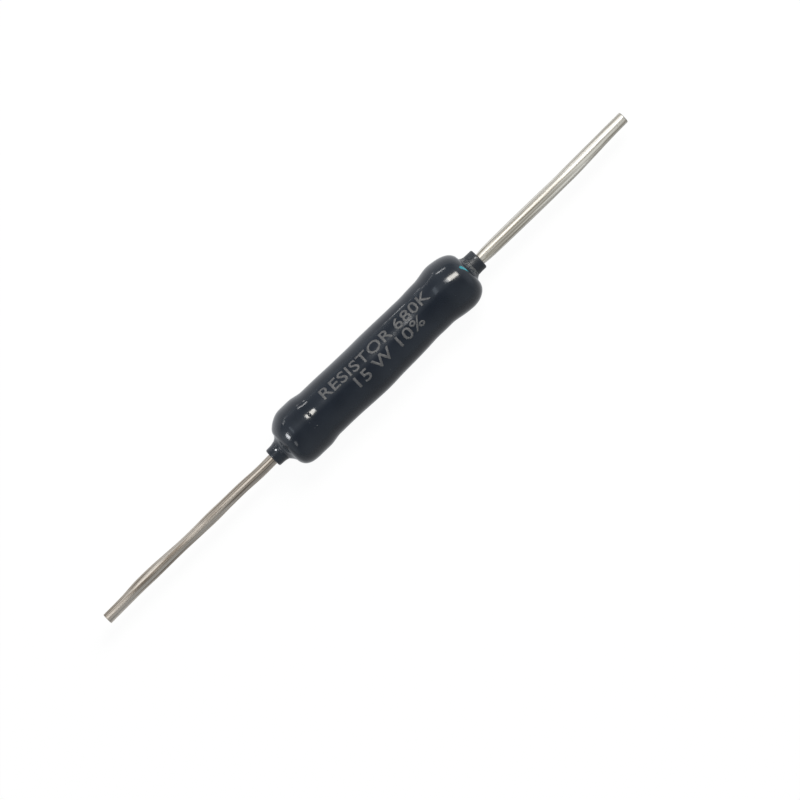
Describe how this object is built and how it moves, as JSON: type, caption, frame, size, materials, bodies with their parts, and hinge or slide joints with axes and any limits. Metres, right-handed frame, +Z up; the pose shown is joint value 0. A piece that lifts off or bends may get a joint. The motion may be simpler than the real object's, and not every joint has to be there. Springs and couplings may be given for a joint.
{
  "type": "high voltage resistor",
  "caption": "Axial high voltage film resistor: glossy black dipped body, wider over its two end caps, with a tinned wire lead out of each end.",
  "frame": {"origin": "middle of the ceramic core on the lead axis, which is the middle of the body and about the centre of mass", "axes": "+X along the leads towards the shorter, right-hand one; +Z up, away from the surface that the body lies on; +Y across"},
  "size_m": [0.0616, 0.0053, 0.0054],
  "materials": {
    "black_coat": "glossy blue-black dipped coat, slightly uneven",
    "tinned_wire": "tinned wire, warm grey with drawing streaks along it",
    "white_ceramic": "fired off-white ceramic",
    "resistive_glaze": "dark fired film, satin",
    "silver_band": "fired conductive band, silver",
    "plated_cap": "drawn and plated steel"
  },
  "bodies": {
    "root": {"coating": "black_coat", "lead_left": "tinned_wire", "lead_right": "tinned_wire", "ceramic_core": "white_ceramic", "resistive_film": "resistive_glaze", "contact_band_left": "silver_band", "contact_band_right": "silver_band", "end_cap_left": "plated_cap", "end_cap_right": "plated_cap"}
  },
  "joints": []
}
